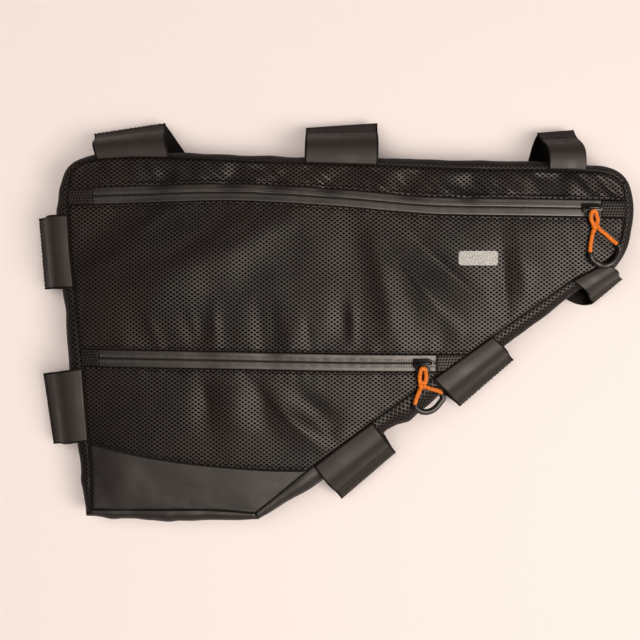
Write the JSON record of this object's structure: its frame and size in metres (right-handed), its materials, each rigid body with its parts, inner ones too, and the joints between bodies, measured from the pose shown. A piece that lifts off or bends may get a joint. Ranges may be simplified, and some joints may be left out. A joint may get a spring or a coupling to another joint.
{
  "type": "bicycle frame bag",
  "caption": "Flat zipped cloth bag for the main triangle of a bicycle frame, with hook-and-loop strap loops round its edge, lying on its back.",
  "frame": {"origin": "middle of the bag's outer box, seen from the front, on the surface that it lies on", "axes": "+X along the bag from its tall end at the seat tube to its narrow nose, +Y up in the bicycle frame, +Z out of the zipped front, away from the floor"},
  "size_m": [0.452, 0.3032, 0.0509],
  "materials": {
    "ripstop_cloth": "warm charcoal ripstop weave with a faint sheen",
    "coated_cloth": "smooth coated charcoal cloth, satin",
    "zip_tape": "fine ribbed coated tape, satin",
    "zip_coil": "dark coil under coated tape",
    "slider_metal": "glossy black enamel",
    "pull_cord": "braided orange cord",
    "pull_grip": "smooth black tube",
    "strap_tape": "smooth rubbery dark grey tape",
    "hook_tape": "dull black hook side"
  },
  "bodies": {
    "root": {"upper_panel": "ripstop_cloth", "middle_panel": "ripstop_cloth", "lower_panel": "ripstop_cloth", "front_guard": "coated_cloth", "back_panel": "ripstop_cloth", "back_guard": "coated_cloth", "gusset_seat": "ripstop_cloth", "gusset_top": "ripstop_cloth", "gusset_nose": "ripstop_cloth", "gusset_slope": "coated_cloth", "gusset_base": "coated_cloth", "upper_zip_seat_tab": "ripstop_cloth", "upper_zip_nose_tab": "ripstop_cloth", "upper_zip_tape_top": "zip_tape", "upper_zip_tape_bottom": "zip_tape", "upper_zip_coil": "zip_coil", "upper_slider": "slider_metal", "upper_pull_cord": "pull_cord", "upper_pull_grip": "pull_grip", "lower_zip_seat_tab": "ripstop_cloth", "lower_zip_nose_tab": "ripstop_cloth", "lower_zip_tape_top": "zip_tape", "lower_zip_tape_bottom": "zip_tape", "lower_zip_coil": "zip_coil", "lower_slider": "slider_metal", "lower_pull_cord": "pull_cord", "lower_pull_grip": "pull_grip", "strap_seat_lower_front": "strap_tape", "strap_seat_lower_back": "hook_tape", "strap_seat_upper_front": "strap_tape", "strap_seat_upper_back": "hook_tape", "strap_top_rear_front": "strap_tape", "strap_top_rear_back": "hook_tape", "strap_top_middle_front": "strap_tape", "strap_top_middle_back": "hook_tape", "strap_top_front_front": "strap_tape", "strap_top_front_back": "hook_tape", "strap_slope_upper_front": "strap_tape", "strap_slope_upper_back": "hook_tape", "strap_slope_middle_front": "strap_tape", "strap_slope_middle_back": "hook_tape", "strap_slope_lower_front": "strap_tape", "strap_slope_lower_back": "hook_tape"}
  },
  "joints": []
}
